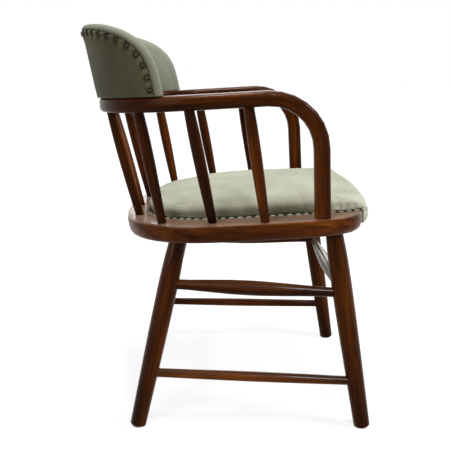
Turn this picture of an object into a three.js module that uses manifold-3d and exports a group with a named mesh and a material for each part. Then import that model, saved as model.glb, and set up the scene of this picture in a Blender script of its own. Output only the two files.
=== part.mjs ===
// Captain's chair: a raked wooden seat frame on four splayed turned legs, a bentwood arm bow carried
// on nine spindles, and an upholstered seat and crest.
// Millimetres, +Z up. The sitter faces -Y, and the origin is on the floor under the chair's middle.

import * as THREE from 'three';
import { mergeVertices } from 'three/addons/utils/BufferGeometryUtils.js';
import Module from 'manifold-3d';

const wasm = await Module();
wasm.setup();

// Joints
const fitGap = 0.3; // between pieces that touch
const cutOverrun = 4; // how far a cutter runs past the face that it opens

// Seat frame: a raked ring of wood, round behind and nearly square in front
const seatHeight = 441.8; // top of the wood above the floor, at the seat's middle
const seatRakeAngle = THREE.MathUtils.degToRad(3.06);
const seatHalfWidth = 252;
const seatRearDepth = 247;
const seatFrontDepth = 257;
const seatThickness = 36.3;
const seatArrisRadius = 5;
const seatUprightDepth = 15; // upright part of the edge, above the part that rounds under
const seatSideUndercut = 12;
const seatRearUndercut = 6;
const seatFrontUndercut = 6;
const seatRebateDepth = 12; // flat on the front edge, where the upholstery turns over it
const seatRearExponent = 2.7;
const seatFrontExponent = 5.5;
const openingHalfWidth = 150;
const openingRearDepth = 140;
const openingFrontDepth = 168;
const openingExponent = 3.4;

// Webbing and hessian, stretched over the frame's opening
const strapCount = 4; // each way
const strapWidth = 48;
const strapThickness = 2;
const strapGap = 14; // between neighbours
const strapLap = 16; // how far a strap reaches onto the frame
const hessianThickness = 1;
const hessianLap = 14;

// Seat pad
const padHalfWidth = 194; // at the fullest part of its sides
const padRearDepth = 203;
const padFrontDepth = 262; // at the corners
const padFrontBow = 10; // how far the front's middle stands out past them
const padMiddlePlace = -20; // where the crown peaks
const padCrownHeight = 45;
const padRearFall = 13; // of the crown towards the rear
const padFrontFall = 4;
const padCornerFall = 8; // further fall towards the front corners
const padShoulderHeight = 17; // of the fullest part of the sides
const padWrapHalfWidth = 172; // of the part that turns down over the frame's front edge
const padWrapDrop = 35;
const padRearExponent = 3;
const padFrontExponent = 12;

// Turned spindles: the places of their centres on the seat and on the bow's underside
const spindleFootRadius = 8.6;
const spindleBellyRadius = 11.8;
const spindleTopRadius = 10;
const spindleFootDepth = 18;
const spindleTopDepth = 13;
const rearSpindleFoot = { side: 0, back: 222 };
const rearSpindleTop = { side: 0, back: 266 };
const cornerSpindleFoot = { side: 104, back: 213 };
const cornerSpindleTop = { side: 109, back: 251 };
const quarterSpindleFoot = { side: 196, back: 156 };
const quarterSpindleTop = { side: 196, back: 184 };
const sideSpindleFoot = { side: 219, back: 54 };
const sideSpindleTop = { side: 241, back: 84 };
const armSpindleFoot = { side: 235, back: -49 };
const armSpindleTop = { side: 241, back: -27 };

// Arm bow: level round the back and along the arms, then bent down to the seat in front
const bowHalfWidth = 241; // to the middle of the wood
const bowBackDepth = 234.5;
const bowSpringLine = 30; // where the round back starts, behind the seat's middle
const bowExponent = 2.4;
const bowUnderside = 220.2; // above the seat
const armThickness = 29.5;
const armWidth = 44;
const postThickness = 31.5;
const postWidth = 32;
const postHalfWidth = 228; // to the middle of a post's foot
const bendRadius = 114.5; // to the outside of the bend
const bendStart = 63; // in front of the seat's middle
const postTenonRadius = 11;
const postTenonDepth = 22;
const armSquareness = 3.2;
const backSquareness = 5;

// Crest: a shaped board on the bow's back, padded inside and covered outside
const crestHalfLength = 268.5; // of the board, along the bow
const crestBoardHeight = 125.6;
const crestLeanSlope = 0.134; // backward per unit of height
const crestProud = 3; // how far the crest stands out past the bow behind
const crestExponent = 3.7;
const crestBoardThickness = 14;
const crestPanelThickness = 2.6;
const crestPanelMargin = 9; // how far the outside cover runs past the board
const crestRollMargin = 19.5; // how far the padding's roll runs past the board
const crestPadThickness = 18;
const crestScrewPlaces = [-165, -55, 55, 165]; // along the bow
const crestScrewRadius = 2.5;
const crestScrewHeadRadius = 4.8;
const crestScrewHeadHeight = 3.5;
const crestScrewLength = 58;
const crestScrewSink = 6; // how deep its head sits in the bow's underside

// Legs: how far their tops are set in from the seat's edges, and how far their feet splay out from there
const frontLegInset = 44;
const frontLegSetback = 70;
const frontLegSplay = { side: 24.5, back: -72 };
const rearLegInset = 72;
const rearLegSetback = 120;
const rearLegSplay = { side: 44.5, back: 88.5 };
const legTopRadius = 17.4;
const legBellyRadius = 20.9;
const legFootRadius = 16.7;
const legFootBevel = 3;
const legSocketDepth = 25;
const frontLegTop = { side: seatHalfWidth - frontLegInset, back: frontLegSetback - seatFrontDepth };
const frontLegFoot = splayed(frontLegTop, frontLegSplay);
const rearLegTop = { side: seatHalfWidth - rearLegInset, back: seatRearDepth - rearLegSetback };
const rearLegFoot = splayed(rearLegTop, rearLegSplay);

// Stretchers, by their heights where they meet the legs
const lowStretcherFrontHeight = 100.2;
const lowStretcherRearHeight = 114.4;
const lowStretcherEndRadius = 9.4;
const lowStretcherMiddleRadius = 10.7;
const highStretcherFrontHeight = 290.8;
const highStretcherRearHeight = 302.8;
const highStretcherFrontRadius = 10;
const highStretcherRearRadius = 10.6;
const highStretcherBellyRadius = 15.9;
const crossStretcherFrontDrop = 1; // below the upper side stretchers
const crossStretcherRearDrop = 41;
const crossStretcherEndRadius = 8.2;
const crossStretcherBellyRadius = 15.2;
const stretcherTenonDepth = 9;

// Facets
const seatSteps = 60;
const padSteps = 56;
const turnedSides = 12;
const legSides = 16;
const boreSides = 12;
const bowSteps = 40;
const bendSteps = 7;
const bowSides = 16;
const crestSteps = 30;
const arcDivisions = 2000;

const QUARTER = Math.PI / 2;
const UP = new THREE.Vector3(0, 1, 0); // the axis that a turned piece is made along
const SEAT_NORMAL = new THREE.Vector3(0, 0, 1); // in the raked seat's frame

// Finishes
const wood = { color: 0x4a2412, roughness: 0.28, metalness: 0 };
const jute = { color: 0xa98c5f, roughness: 0.95, metalness: 0 };
const velvet = { color: 0xb4b895, roughness: 0.9, metalness: 0 };
const velvetShade = { color: 0x6f7058, roughness: 0.9, metalness: 0 };
const innerWood = { color: 0xb08a5c, roughness: 0.8, metalness: 0 };
const screwBrass = { color: 0xa07a3c, roughness: 0.4, metalness: 1 };

// Where a leg stands on the floor.
function splayed(top, splay) {
  return { side: top.side + splay.side, back: top.back + splay.back };
}

function piece(name, geometry, finish, parent) {
  const mesh = new THREE.Mesh(geometry, new THREE.MeshStandardMaterial(finish));
  mesh.name = name;
  parent.add(mesh);
  return mesh;
}

function mix(a, b, share) {
  return a + (b - a) * share;
}

// Eases a share in and out.
function smooth(share) {
  return THREE.MathUtils.smoothstep(share, 0, 1);
}

// Signed power, for superellipses.
function bulge(value, power) {
  return Math.sign(value) * Math.abs(value) ** power;
}

// A point of an outline whose front and rear halves are superellipses.
function onOutline(shape, angle) {
  const behind = Math.sin(angle) >= 0;
  const exponent = behind ? shape.rearExponent : shape.frontExponent;
  const x = shape.halfWidth * bulge(Math.cos(angle), 2 / exponent);
  const y = (behind ? shape.rear : shape.front) * bulge(Math.sin(angle), 2 / exponent);
  return new THREE.Vector2(x, y);
}

class OutlineArc extends THREE.Curve {
  constructor(shape, from, to) {
    super();
    Object.assign(this, { shape, from, to, arcLengthDivisions: arcDivisions });
  }

  getPoint(t, target = new THREE.Vector3()) {
    const point = onOutline(this.shape, mix(this.from, this.to, t));
    return target.set(point.x, point.y, 0);
  }
}

// The angles of points that lie evenly along an outline's arc, its last point left out.
function evenAngles(shape, from, to, count) {
  const arc = new OutlineArc(shape, from, to);
  return Array.from({ length: count }, (_, i) => mix(from, to, arc.getUtoTmapping(i / count)));
}

// A closed body's geometry with its faces turned outward.
function closedGeometry(points, triangles) {
  let volume = 0;
  for (const [a, b, c] of triangles) {
    volume += points[a].dot(new THREE.Vector3().crossVectors(points[b], points[c]));
  }
  const geometry = new THREE.BufferGeometry().setFromPoints(points);
  geometry.setIndex(triangles.flatMap(([a, b, c]) => (volume > 0 ? [a, b, c] : [a, c, b])));
  geometry.computeVertexNormals();
  return geometry;
}

// Triangles that fill a ring of points, in the ring's own sense.
function fillRing(ring, first) {
  const normal = new THREE.Vector3();
  ring.forEach((point, i) => {
    normal.add(new THREE.Vector3().crossVectors(point, ring[(i + 1) % ring.length]));
  });
  const across = new THREE.Vector3().subVectors(ring[1], ring[0]).normalize();
  const up = new THREE.Vector3().crossVectors(normal.normalize(), across);
  const flat = ring.map((point) => new THREE.Vector2(point.dot(across), point.dot(up)));
  return THREE.ShapeUtils.triangulateShape(flat, []).map((face) => face.map((i) => first + i));
}

// Skins a row of rings that have the same number of points. A looped row closes on itself, and an
// open one is filled at both ends.
function loft(rings, looped = false) {
  const count = rings[0].length;
  const triangles = [];
  const spans = looped ? rings.length : rings.length - 1;
  for (let i = 0; i < spans; i += 1) {
    const here = i * count;
    const next = ((i + 1) % rings.length) * count;
    for (let j = 0; j < count; j += 1) {
      const k = (j + 1) % count;
      triangles.push([here + j, here + k, next + k], [here + j, next + k, next + j]);
    }
  }
  if (!looped) {
    triangles.push(...fillRing(rings[0], 0).map(([a, b, c]) => [a, c, b]));
    triangles.push(...fillRing(rings.at(-1), (rings.length - 1) * count));
  }
  return closedGeometry(rings.flat(), triangles);
}

// A solid of revolution along +Y through stations, whose x is a radius and whose y a distance. Its
// first stretch may be a bevel.
function turned(stations, sides, bevelled = false) {
  const profile = stations.map((station) => station.clone());
  if (bevelled) profile[0].x = profile[1].x - profile[1].y;
  const ends = [new THREE.Vector2(0, 0), new THREE.Vector2(0, profile.at(-1).y)];
  return new THREE.LatheGeometry([ends[0], ...profile, ends[1]], sides);
}

// The stations of a turned piece that swells between its two tenons, from a table that gives the share
// of its free length and the share of its swell.
function swelling(shares, radii, tenons, length) {
  const belly = shares.findIndex(([, swell]) => swell === 1);
  const free = length - tenons.start - tenons.end;
  const stations = shares.map(([along, swell], i) => {
    const radius = mix(i < belly ? radii.start : radii.end, radii.belly, swell);
    return new THREE.Vector2(radius, tenons.start + along * free);
  });
  return [new THREE.Vector2(radii.start, 0), ...stations, new THREE.Vector2(radii.end, length)];
}

// How far a slanted tenon has to run past its mouth's middle to clear the mouth's edge.
function lip(radius, direction, normal) {
  return radius * Math.tan(Math.min(direction.angleTo(normal), direction.clone().negate().angleTo(normal)));
}

// Lays a piece's +Y axis from one point towards another.
function layAlong(mesh, from, to) {
  const direction = new THREE.Vector3().subVectors(to, from).normalize();
  mesh.position.copy(from);
  mesh.quaternion.setFromUnitVectors(UP, direction);
  return mesh;
}

// A closed geometry, moved by a matrix, as a solid that can be cut.
function solidOf(geometry, matrix) {
  const bare = new THREE.BufferGeometry();
  bare.setAttribute('position', geometry.getAttribute('position').clone());
  bare.setIndex(geometry.index ? geometry.index.clone() : null);
  const welded = mergeVertices(bare.applyMatrix4(matrix));
  const corners = welded.index.array;
  const faces = [];
  for (let i = 0; i < corners.length; i += 3) {
    const [a, b, c] = [corners[i], corners[i + 1], corners[i + 2]];
    if (a !== b && b !== c && c !== a) faces.push(a, b, c);
  }
  return new wasm.Manifold(new wasm.Mesh({
    numProp: 3,
    vertProperties: Float32Array.from(welded.getAttribute('position').array),
    triVerts: Uint32Array.from(faces),
  }));
}

// Cuts shapes, which are placed in the chair's frame, out of a piece.
function carve(mesh, cutters) {
  mesh.updateWorldMatrix(true, false);
  const intoMesh = mesh.matrixWorld.clone().invert();
  let solid = solidOf(mesh.geometry, new THREE.Matrix4());
  for (const cutter of cutters) solid = solid.subtract(solidOf(cutter, intoMesh));
  const cut = solid.getMesh();
  mesh.geometry = new THREE.BufferGeometry();
  mesh.geometry.setAttribute('position', new THREE.BufferAttribute(cut.vertProperties, 3));
  mesh.geometry.setIndex(new THREE.BufferAttribute(cut.triVerts, 1));
  mesh.geometry.computeVertexNormals();
}

// A round hole's cutter, in the chair's frame. Its flats clear the tenon, and it runs from past the
// tenon's end out past the mouth and the mouth's lip.
function bore(end, mouth, radius, frame, mouthLip = 0) {
  const inward = new THREE.Vector3().subVectors(end, mouth).normalize();
  const bottom = end.clone().addScaledVector(inward, fitGap);
  const top = mouth.clone().addScaledVector(inward, -cutOverrun - mouthLip);
  const length = bottom.distanceTo(top);
  const corner = (radius + fitGap) / Math.cos(Math.PI / boreSides);
  const cutter = new THREE.CylinderGeometry(corner, corner, length, boreSides);
  const turn = new THREE.Quaternion().setFromUnitVectors(UP, inward.negate());
  cutter.translate(0, length / 2, 0).applyQuaternion(turn).translate(bottom.x, bottom.y, bottom.z);
  return cutter.applyMatrix4(frame.matrixWorld);
}

const chair = new THREE.Group();
const standing = new THREE.Group();
chair.add(standing);
const raked = new THREE.Group();
raked.position.z = seatHeight;
raked.rotation.x = -seatRakeAngle;
standing.add(raked);
chair.updateMatrixWorld(true);

// Seat frame

// The edge's outline, drawn in by an inset and by a share of the rounding under.
function seatOutline(inset, underShare) {
  return {
    halfWidth: seatHalfWidth - inset - seatSideUndercut * underShare,
    rear: seatRearDepth - inset - seatRearUndercut * underShare,
    front: seatFrontDepth - inset - seatFrontUndercut * underShare,
    rearExponent: seatRearExponent,
    frontExponent: seatFrontExponent,
  };
}

// The opening's outline, grown by a margin.
function openingOutline(margin) {
  return {
    halfWidth: openingHalfWidth + margin,
    rear: openingRearDepth + margin,
    front: openingFrontDepth + margin,
    rearExponent: openingExponent,
    frontExponent: openingExponent,
  };
}

const arrisTurnShares = [0, 0.5, 1];
const underTurnShares = [0, 0.3, 0.55, 0.8, 1];

// The frame's section at an angle: over the top arris, down the edge, under, and up the opening's wall.
function seatRing(angle) {
  const ring = [];
  const add = (shape, height) => {
    const point = onOutline(shape, angle);
    ring.push(new THREE.Vector3(point.x, point.y, height));
  };
  for (const share of arrisTurnShares) {
    const turn = share * QUARTER;
    add(seatOutline(seatArrisRadius * (1 - Math.sin(turn)), 0), -seatArrisRadius * (1 - Math.cos(turn)));
  }
  for (const share of underTurnShares) {
    const turn = share * QUARTER;
    add(seatOutline(0, 1 - Math.cos(turn)), -mix(seatUprightDepth, seatThickness, Math.sin(turn)));
  }
  add(openingOutline(0), -seatThickness);
  add(openingOutline(0), 0);
  return ring;
}

function makeSeatFrame(sockets) {
  const angles = evenAngles(seatOutline(0, 0), QUARTER, QUARTER + Math.PI * 2, seatSteps);
  const frame = piece('seat_frame', loft(angles.map(seatRing), true), wood, raked);
  const width = (padWrapHalfWidth + fitGap) * 2;
  const depth = seatRebateDepth + cutOverrun;
  const height = seatThickness + cutOverrun * 2;
  const rebate = new THREE.BoxGeometry(width, depth, height);
  rebate.translate(0, seatRebateDepth - seatFrontDepth - depth / 2, -seatThickness / 2);
  carve(frame, [rebate.applyMatrix4(raked.matrixWorld), ...sockets]);
}

// Webbing

// One strap, woven over and under those that cross it. It runs along +Y, and its ends follow two curves
// that give the run at a place across it.
function strapGeometry(startAt, endAt, crossings, startsOver) {
  const low = fitGap;
  const high = low + strapThickness + fitGap;
  const half = strapWidth / 2;
  const flat = half + fitGap;
  const levels = [[startAt, low]];
  crossings.forEach((crossing, i) => {
    const height = (i % 2 === 0) === startsOver ? high : low;
    levels.push([() => crossing - flat, height], [() => crossing + flat, height]);
  });
  levels.push([endAt, low]);
  return loft(levels.map(([runAt, height]) => [
    new THREE.Vector3(-half, runAt(-half), height),
    new THREE.Vector3(half, runAt(half), height),
    new THREE.Vector3(half, runAt(half), height + strapThickness),
    new THREE.Vector3(-half, runAt(-half), height + strapThickness),
  ]));
}

// Where a strap ends: a lap past the opening's edge, at a place across the opening.
function strapReach(depth, across, place) {
  return strapLap + depth * (1 - (Math.abs(place) / across) ** openingExponent) ** (1 / openingExponent);
}

function makeWebbing() {
  const pitch = strapWidth + strapGap;
  const places = Array.from({ length: strapCount }, (_, i) => (i - (strapCount - 1) / 2) * pitch);
  const middle = (openingRearDepth - openingFrontDepth) / 2;
  const rows = places.map((place) => place + middle);
  places.forEach((x, i) => {
    const rear = (across) => strapReach(openingRearDepth, openingHalfWidth, x + across);
    const front = (across) => -strapReach(openingFrontDepth, openingHalfWidth, x + across);
    const strap = strapGeometry(front, rear, rows, i % 2 === 0);
    piece(`webbing_lengthwise_${i + 1}`, strap, jute, raked).position.x = x;
  });
  rows.forEach((y, i) => {
    const depth = y > 0 ? openingRearDepth : openingFrontDepth;
    const left = (across) => strapReach(openingHalfWidth, depth, y - across);
    const right = (across) => -left(across);
    const crossing = strapGeometry(right, left, places, i % 2 !== 0);
    const strap = piece(`webbing_crosswise_${i + 1}`, crossing, jute, raked);
    strap.position.y = y;
    strap.rotation.z = -QUARTER;
  });
}

const hessianUnderside = (strapThickness + fitGap) * 2 + fitGap;

function makeHessian() {
  const shape = openingOutline(hessianLap);
  const angles = evenAngles(shape, QUARTER, QUARTER + Math.PI * 2, padSteps / 2);
  const outline = new THREE.Shape(angles.map((angle) => onOutline(shape, angle)));
  const cloth = new THREE.ExtrudeGeometry(outline, { depth: hessianThickness, bevelEnabled: false });
  piece('hessian', cloth, jute, raked).position.z = hessianUnderside;
}

// Seat pad

// From the fullest part of the side up to the crown: share of the reach, and share of the rise.
const padCrownShares = [
  [1, 0], [0.988, 0.21], [0.957, 0.4], [0.9, 0.58], [0.815, 0.745], [0.695, 0.865], [0.54, 0.945],
  [0.34, 0.99], [0.12, 1],
];

// From the fullest part down to the hem: share of the drop, and share of the reach on the wood and
// down the frame's front edge.
const padSideShares = [[0.35, 0.995, 1], [0.7, 0.985, 0.992], [1, 0.965, 0.972]];

const padHemShare = 0.88; // of the reach: where the hem, which is nailed to the wood, ends inside
const padSideShare = 0.75; // of the outline's points, for the part that does not turn down

// The pad's outline about its crown's middle, clockwise from the rear. The front part turns down over
// the frame, and the two parts part at the frame's rebate.
function padOutline() {
  const shape = {
    halfWidth: padHalfWidth,
    rear: padRearDepth - padMiddlePlace,
    front: padFrontDepth + padMiddlePlace,
    rearExponent: padRearExponent,
    frontExponent: padFrontExponent,
  };
  const cornerAngle = (x) => Math.acos((x / padHalfWidth) ** (padFrontExponent / 2));
  const hemCorner = cornerAngle(padWrapHalfWidth + fitGap * 4);
  const wrapCorner = cornerAngle(padWrapHalfWidth);
  const sideCount = Math.round(padSteps * padSideShare);
  const sides = [...evenAngles(shape, -hemCorner, Math.PI + hemCorner, sideCount), Math.PI + hemCorner];
  const front = [...evenAngles(shape, Math.PI + wrapCorner, Math.PI * 2 - wrapCorner, padSteps - sideCount),
    Math.PI * 2 - wrapCorner];
  const bowed = (angle) => {
    const point = onOutline(shape, angle);
    const ahead = smooth(-point.y / shape.front);
    point.y -= padFrontBow * ahead * (1 - (point.x / padHalfWidth) ** 2);
    return point;
  };
  return [...sides.map((angle) => ({ point: bowed(angle), wraps: false })),
    ...front.map((angle) => ({ point: bowed(angle), wraps: true }))];
}

function makeSeatPad() {
  const outline = padOutline();
  const ring = (place) => outline.map(({ point, wraps }) => {
    const [reach, height] = place(wraps);
    return new THREE.Vector3(point.x * reach, point.y * reach + padMiddlePlace, height);
  });
  const rings = padCrownShares.map(([reach, rise]) => {
    const points = ring(() => [reach, mix(padShoulderHeight, padCrownHeight, rise)]);
    for (const point of points) {
      const behind = (point.y - padMiddlePlace) / (padRearDepth - padMiddlePlace);
      const ahead = (padMiddlePlace - point.y) / (padFrontDepth + padMiddlePlace);
      const frontFall = padFrontFall + padCornerFall * (point.x / padHalfWidth) ** 2;
      point.z -= rise * (padRearFall * smooth(behind) + frontFall * smooth(ahead));
    }
    return points;
  });
  rings.reverse();
  for (const [drop, onWood, onFront] of padSideShares) {
    const onSide = mix(padShoulderHeight, fitGap, drop);
    const downFront = mix(padShoulderHeight, -padWrapDrop, drop);
    rings.push(ring((wraps) => (wraps ? [onFront, downFront] : [onWood, onSide])));
  }
  const edge = rings.at(-1);
  const rebateFace = seatRebateDepth - seatFrontDepth - fitGap;
  const drawnIn = (width, wrapHeight) => edge.map((point, i) => {
    const inward = new THREE.Vector2(point.x, point.y - padMiddlePlace).normalize().multiplyScalar(width);
    if (outline[i].wraps) return new THREE.Vector3(point.x - inward.x, rebateFace, wrapHeight);
    return new THREE.Vector3(point.x - inward.x, point.y - inward.y, fitGap);
  });
  rings.push(drawnIn(fitGap, -padWrapDrop), drawnIn(fitGap * 2, fitGap));
  const hollow = hessianUnderside + hessianThickness + fitGap;
  rings.push(ring(() => [padHemShare, fitGap]), ring(() => [padHemShare, hollow]));
  piece('seat_pad', loft(rings), velvet, raked);
}

// Spindles

const spindleSwellShares = [
  [0, 0], [0.12, 0.28], [0.25, 0.55], [0.38, 0.78], [0.5, 0.93], [0.62, 1], [0.74, 0.93], [0.86, 0.64],
  [0.95, 0.24], [1, 0],
];

function makeSpindle(name, foot, top, side) {
  const footPoint = new THREE.Vector3(foot.side * side, foot.back, 0);
  const topPoint = new THREE.Vector3(top.side * side, top.back, bowUnderside);
  const rise = new THREE.Vector3().subVectors(topPoint, footPoint).normalize();
  const start = footPoint.clone().addScaledVector(rise, -spindleFootDepth);
  const end = topPoint.clone().addScaledVector(rise, spindleTopDepth);
  const radii = { start: spindleFootRadius, belly: spindleBellyRadius, end: spindleTopRadius };
  const lips = {
    start: lip(spindleFootRadius, rise, SEAT_NORMAL),
    end: lip(spindleTopRadius, rise, SEAT_NORMAL),
  };
  const tenons = { start: spindleFootDepth + lips.start, end: spindleTopDepth + lips.end };
  const stations = swelling(spindleSwellShares, radii, tenons, start.distanceTo(end));
  layAlong(piece(name, turned(stations, turnedSides), wood, raked), start, end);
  return {
    inSeat: bore(start, footPoint, spindleFootRadius, raked, lips.start),
    inBow: bore(end, topPoint, spindleTopRadius, raked, lips.end),
  };
}

function makeSpindles() {
  const kinds = [
    ['quarter', quarterSpindleFoot, quarterSpindleTop], ['corner', cornerSpindleFoot, cornerSpindleTop],
    ['side', sideSpindleFoot, sideSpindleTop], ['arm', armSpindleFoot, armSpindleTop],
  ];
  const sockets = [makeSpindle('spindle_rear', rearSpindleFoot, rearSpindleTop, 1)];
  for (const [kind, foot, top] of kinds) {
    sockets.push(makeSpindle(`spindle_${kind}_left`, foot, top, 1));
    sockets.push(makeSpindle(`spindle_${kind}_right`, foot, top, -1));
  }
  return sockets;
}

// Arm bow

const bowBack = { halfWidth: bowHalfWidth, rear: bowBackDepth, rearExponent: bowExponent };

// The plan of the bow's level part, from the left arm's bend round the back to the right arm's.
class BowPlan extends THREE.Curve {
  getPoint(t, target = new THREE.Vector3()) {
    const arm = bowSpringLine + bendStart;
    const back = (bowHalfWidth + bowBackDepth) * QUARTER;
    const whole = arm * 2 + back;
    const along = t * whole;
    if (along < arm) return target.set(bowHalfWidth, along - bendStart, 0);
    if (along > arm + back) return target.set(-bowHalfWidth, whole - along - bendStart, 0);
    const angle = ((along - arm) / back) * Math.PI;
    const point = onOutline(bowBack, angle);
    return target.set(point.x, point.y + bowSpringLine, 0);
  }
}

const bowPlan = new BowPlan();
bowPlan.arcLengthDivisions = arcDivisions;
const bowPlanLength = bowPlan.getLength();

// A place on the bow's plan: along it from the middle of the back, and outward from its middle line.
function onBow(along, outward, height) {
  const share = THREE.MathUtils.clamp(1 / 2 - along / bowPlanLength, 0, 1);
  const point = bowPlan.getPointAt(share);
  const tangent = bowPlan.getTangentAt(share);
  return new THREE.Vector3(point.x + tangent.y * outward, point.y - tangent.x * outward, height);
}

// A section across the bow: its centre, and the directions of its width and of its thickness.
function bowSection(centre, widthAxis, thicknessAxis, width, thickness, exponent) {
  const ring = [];
  for (let i = 0; i < bowSides; i += 1) {
    const angle = ((i + 1 / 2) / bowSides) * Math.PI * 2;
    const across = (width / 2) * bulge(Math.cos(angle), 2 / exponent);
    const through = (thickness / 2) * bulge(Math.sin(angle), 2 / exponent);
    ring.push(centre.clone().addScaledVector(widthAxis, across).addScaledVector(thicknessAxis, through));
  }
  return ring;
}

const postRiseShares = [0, 0.5]; // of a post's straight part

// The post and the bend on one side, from the tenon up to the arm.
function bowPostRings(side) {
  const rings = [];
  const outward = new THREE.Vector3(side, 0, 0);
  const armTop = bowUnderside + armThickness;
  const bendHeight = armTop - bendRadius;
  const postY = -bendStart - bendRadius + postThickness / 2;
  const middle = (height) => side * mix(postHalfWidth, bowHalfWidth, height / armTop);
  const forward = new THREE.Vector3(0, -1, 0);
  const at = (height) => new THREE.Vector3(middle(height), postY, height);
  const tenon = [at(-postTenonDepth), at(fitGap)];
  for (const centre of tenon) {
    rings.push(bowSection(centre, outward, forward, postTenonRadius * 2, postTenonRadius * 2, 2));
  }
  for (const share of postRiseShares) {
    const centre = at(mix(fitGap, bendHeight, share));
    rings.push(bowSection(centre, outward, forward, postWidth, postThickness, armSquareness));
  }
  for (let i = 0; i < bendSteps; i += 1) {
    const turn = (i / bendSteps) * QUARTER;
    const share = smooth(i / bendSteps);
    const thickness = mix(postThickness, armThickness, share);
    const out = new THREE.Vector3(0, -Math.cos(turn), Math.sin(turn));
    const centre = new THREE.Vector3(0, -bendStart, bendHeight);
    centre.addScaledVector(out, bendRadius - thickness / 2);
    centre.x = middle(centre.z);
    rings.push(bowSection(centre, outward, out, mix(postWidth, armWidth, share), thickness, armSquareness));
  }
  return rings;
}

function makeArmBow(cutters) {
  const up = new THREE.Vector3(0, 0, 1);
  const rings = bowPostRings(1);
  for (let i = 0; i <= bowSteps; i += 1) {
    const along = (1 / 2 - i / bowSteps) * bowPlanLength;
    const outward = onBow(along, 1, 0).sub(onBow(along, 0, 0));
    const behind = smooth((crestHalfLength + armWidth - Math.abs(along)) / armWidth);
    const squareness = mix(armSquareness, backSquareness, behind);
    const centre = onBow(along, 0, bowUnderside + armThickness / 2);
    rings.push(bowSection(centre, outward, up, armWidth, armThickness, squareness));
  }
  rings.push(...bowPostRings(-1).reverse());
  const bow = piece('arm_bow', loft(rings), wood, raked);
  carve(bow, cutters);
  return bow;
}

// Crest

const crestBase = bowUnderside + armThickness + fitGap;

// How far along the bow a column of the crest stands, as a share of its top's place.
const crestFootShare = 0.86;

// The crest's rim, flattened: x runs along the bow, and y up.
class CrestRim extends THREE.Curve {
  getPoint(t, target = new THREE.Vector3()) {
    const turn = (t - 1 / 2) * Math.PI;
    const along = crestHalfLength * bulge(Math.sin(turn), 2 / crestExponent);
    const height = crestBoardHeight * bulge(Math.cos(turn), 2 / crestExponent);
    return target.set(along, height, 0);
  }
}

const crestRim = new CrestRim();
crestRim.arcLengthDivisions = arcDivisions;

// A place on or under the crest, which leans back as it rises.
function leaning(along, outward, height) {
  const place = onBow(along, outward, height);
  place.y += crestLeanSlope * (height - crestBase);
  return place;
}

// A place on the crest, on a column that ends at a place on its rim: up the column, then past the
// rim by a margin, and outward from the bow's middle line.
function onCrest(rim, rise, margin, outward) {
  const along = mix(rim.x * crestFootShare, rim.x, rise) + (margin * rim.x) / crestHalfLength;
  return leaning(along, outward, crestBase + rim.y * rise + (margin * rim.y) / crestBoardHeight);
}

// Sweeps a section, given as share of the rise, margin and outward place, round the crest's rim. Pieces
// that lie face to face list their shared face from foot to rim in the same order, so that it is
// split into the same triangles.
function crestLoft(section) {
  const rims = crestRim.getSpacedPoints(crestSteps);
  return loft(rims.map((rim) => section.map(([rise, margin, outward]) => onCrest(rim, rise, margin, outward))));
}

const crestOutside = armWidth / 2 + crestProud;
const crestBoardOutside = crestOutside - crestPanelThickness - fitGap;
const crestBoardInside = crestBoardOutside - crestBoardThickness;

function makeCrestBoard(cutters) {
  const section = [
    [0, 0, crestBoardInside], [1, 0, crestBoardInside],
    [1, 0, crestBoardOutside], [0, 0, crestBoardOutside],
  ];
  const board = piece('crest_board', crestLoft(section), innerWood, raked);
  carve(board, cutters);
}

function makeCrestPanel() {
  const inside = crestOutside - crestPanelThickness;
  const section = [[0, 0, inside], [1, 0, inside], [1, crestPanelMargin, inside],
    [1, crestPanelMargin, crestOutside], [1, 0, crestOutside], [0, 0, crestOutside]];
  piece('crest_panel', crestLoft(section.reverse()), velvetShade, raked);
}

// The inside padding's swell, from its foot to the rim: share of the rise, and share of the thickness.
const crestSwellShares = [[0, 0.8], [0.25, 0.95], [0.5, 1], [0.75, 0.93], [1, 0.7]];

// The roll over the rim: share of its margin, and share of the way from the inside to the outside.
const crestRollShares = [[0.5, 0.1], [0.86, 0.3], [1, 0.55], [0.93, 0.8], [0.75, 0.95]];

function makeCrestPad() {
  const inside = crestBoardInside - fitGap;
  const section = crestSwellShares.map(([rise, swell]) => [rise, 0, inside - crestPadThickness * swell]);
  const [, , rollInside] = section.at(-1);
  for (const [margin, through] of crestRollShares) {
    section.push([1, crestRollMargin * margin, mix(rollInside, crestOutside, through)]);
  }
  const edge = crestPanelMargin + fitGap;
  const shoulder = crestBoardOutside - fitGap;
  section.push([1, edge, crestOutside], [1, edge, shoulder], [1, fitGap, shoulder]);
  section.push([1, fitGap, inside], [0, 0, inside]);
  piece('crest_pad', crestLoft(section.reverse()), velvet, raked);
}

const crestScrewRimShare = 0.3; // of its head's height

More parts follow.
